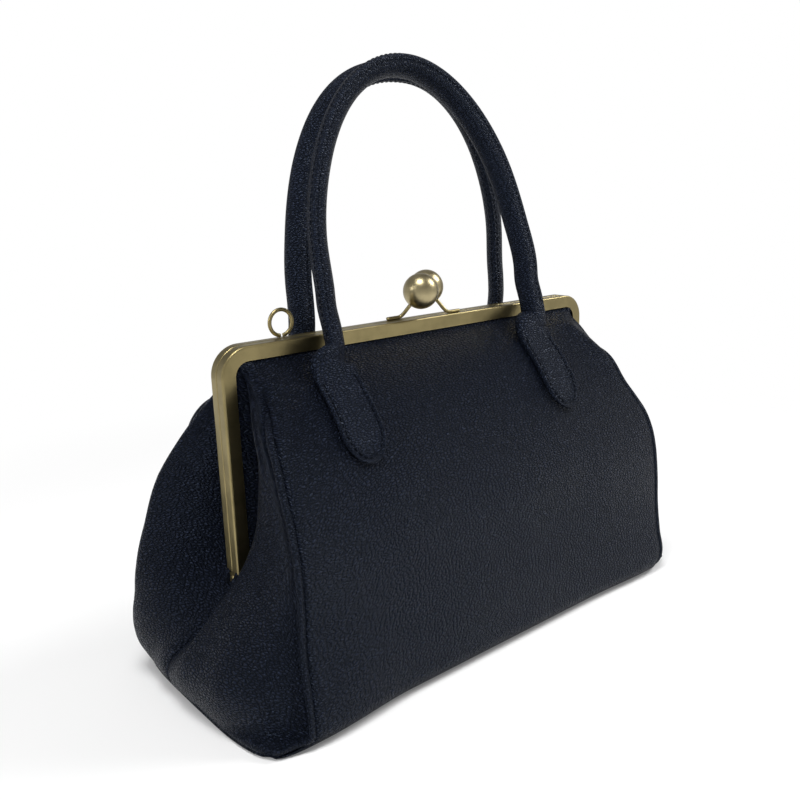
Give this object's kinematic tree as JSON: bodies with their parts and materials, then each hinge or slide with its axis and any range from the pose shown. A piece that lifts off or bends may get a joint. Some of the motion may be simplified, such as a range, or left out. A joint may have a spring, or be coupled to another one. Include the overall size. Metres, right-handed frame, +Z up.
{
  "type": "kiss lock frame purse",
  "caption": "Leather frame purse with a hinged brass channel frame, ball kiss-lock clasp, folded side gussets, piped seams and rolled handles that swing outward.",
  "frame": {"origin": "on the floor, under the middle of the purse", "axes": "+X along the brass frame, -Y towards the front panel, +Z up"},
  "size_m": [0.3402, 0.136, 0.3226],
  "materials": {
    "brass": "brushed antique brass",
    "body_leather": "satin, fine pebbled grain",
    "piping_leather": "satin",
    "handle_leather": "satin, fine pebbled grain",
    "lining": "matt woven cotton",
    "board": "matt fibre board",
    "paper_cord": "matt twisted paper",
    "core_cord": "matt twisted cord"
  },
  "bodies": {
    "purse_body": {"wrap_panel": "body_leather", "left_gusset": "body_leather", "right_gusset": "body_leather", "left_piping": "piping_leather", "right_piping": "piping_leather", "base_board": "board", "tub_lining": "lining", "slip_pocket": "lining"},
    "front_half": {"front_frame_rail": "brass", "front_clasp_ball": "brass", "front_clasp_stalk": "brass", "front_grip_cord": "paper_cord", "front_panel": "body_leather", "front_panel_fold": "body_leather", "front_gusset_folds": "body_leather", "front_side_piping": "piping_leather", "front_lining": "lining", "front_handle_tabs": "handle_leather"},
    "rear_half": {"rear_frame_rail": "brass", "rear_clasp_ball": "brass", "rear_clasp_stalk": "brass", "rear_grip_cord": "paper_cord", "rear_panel": "body_leather", "rear_panel_fold": "body_leather", "rear_gusset_folds": "body_leather", "rear_side_piping": "piping_leather", "rear_lining": "lining", "rear_handle_tabs": "handle_leather", "hinge_rivets": "brass", "strap_rings": "brass"},
    "front_handle_loop": {"front_handle": "handle_leather", "front_handle_core": "core_cord"},
    "rear_handle_loop": {"rear_handle": "handle_leather", "rear_handle_core": "core_cord"}
  },
  "joints": [
    {"name": "front_frame_hinge", "type": "hinge", "parent": "purse_body", "child": "front_half", "pos_m": [0, 0, 0.06], "axis": [1, 0, 0], "range_deg": [0, 35], "deforming": ["front_panel_fold", "front_gusset_folds", "front_side_piping", "front_lining", "front_clasp_ball", "front_clasp_stalk"]},
    {"name": "rear_frame_hinge", "type": "hinge", "parent": "purse_body", "child": "rear_half", "pos_m": [0, 0, 0.06], "axis": [1, 0, 0], "range_deg": [-35, 0], "deforming": ["rear_panel_fold", "rear_gusset_folds", "rear_side_piping", "rear_lining", "rear_clasp_ball", "rear_clasp_stalk"]},
    {"name": "front_handle_swing", "type": "hinge", "parent": "front_half", "child": "front_handle_loop", "pos_m": [0, -0.0286, 0.17105], "axis": [1, 0, 0], "range_deg": [0, 100]},
    {"name": "rear_handle_swing", "type": "hinge", "parent": "rear_half", "child": "rear_handle_loop", "pos_m": [0, 0.0286, 0.17105], "axis": [1, 0, 0], "range_deg": [-95, 0]}
  ],
  "couplings": [
    {"joint": "rear_frame_hinge", "follows": "front_frame_hinge", "ratio": -1}
  ]
}
